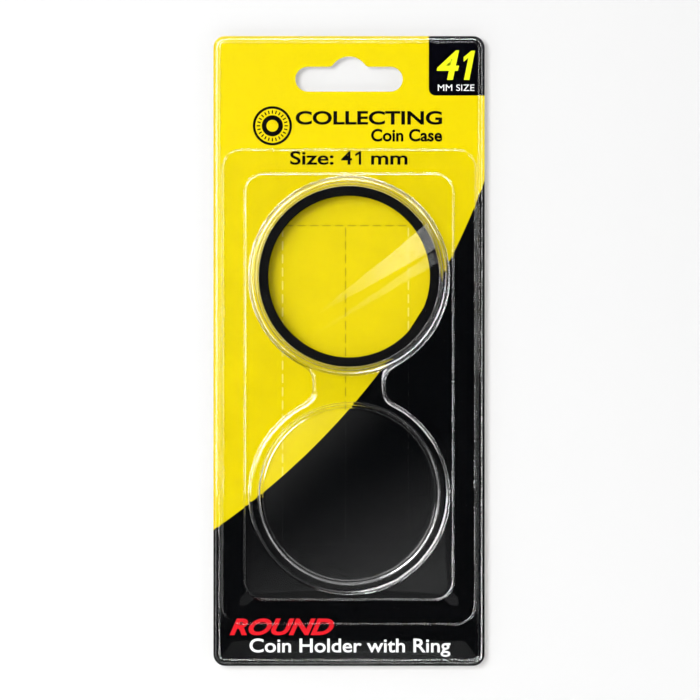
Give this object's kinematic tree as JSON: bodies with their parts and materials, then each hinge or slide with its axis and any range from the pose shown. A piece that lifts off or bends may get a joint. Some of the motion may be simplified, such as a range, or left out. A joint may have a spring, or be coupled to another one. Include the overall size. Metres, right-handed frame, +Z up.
{
  "type": "packaged coin capsule",
  "caption": "Round coin capsule whose base, foam ring and lid lie apart in a clear stepped blister on a printed hanging card with perforated back doors.",
  "frame": {"origin": "where a peg bears at the top of the hang slot, on the card's back face", "axes": "+Z up the hanging pack, +Y from the printed front to the back, +X to the right seen from the front"},
  "size_m": [0.069, 0.007, 0.1602],
  "materials": {
    "printed_card": "gloss",
    "clear_sheet": "gloss",
    "clear_acrylic": "polished",
    "black_foam": "matte"
  },
  "bodies": {
    "card": {"card": "printed_card"},
    "left_door": {"left_door": "printed_card"},
    "right_door": {"right_door": "printed_card"},
    "blister": {"blister": "clear_sheet"},
    "capsule_base": {"capsule_base": "clear_acrylic"},
    "foam_ring": {"foam_ring": "black_foam"},
    "capsule_lid": {"capsule_lid": "clear_acrylic"}
  },
  "joints": [
    {"name": "left_door_fold", "type": "hinge", "parent": "card", "child": "left_door", "pos_m": [-0.0169, 0, -0.084], "axis": [0, 0, 1], "range_deg": [0, 165]},
    {"name": "right_door_fold", "type": "hinge", "parent": "card", "child": "right_door", "pos_m": [0.0151, 0, -0.084], "axis": [0, 0, -1], "range_deg": [0, 165]},
    {"name": "blister_peel", "type": "hinge", "parent": "card", "child": "blister", "pos_m": [0, -0.0005, -0.155], "axis": [1, 0, 0], "range_deg": [0, 110]},
    {"name": "base_out", "type": "slide", "parent": "blister", "child": "capsule_base", "axis": [0, 1, 0], "range_m": [0, 0.024]},
    {"name": "ring_out", "type": "slide", "parent": "capsule_base", "child": "foam_ring", "axis": [0, 1, 0], "range_m": [0, 0.012]},
    {"name": "lid_out", "type": "slide", "parent": "blister", "child": "capsule_lid", "axis": [0, 1, 0], "range_m": [0, 0.024]}
  ],
  "couplings": [
    {"joint": "base_out", "follows": "blister_peel", "m_per_rad": 0.012},
    {"joint": "ring_out", "follows": "blister_peel", "m_per_rad": 0.006},
    {"joint": "lid_out", "follows": "blister_peel", "m_per_rad": 0.012}
  ]
}
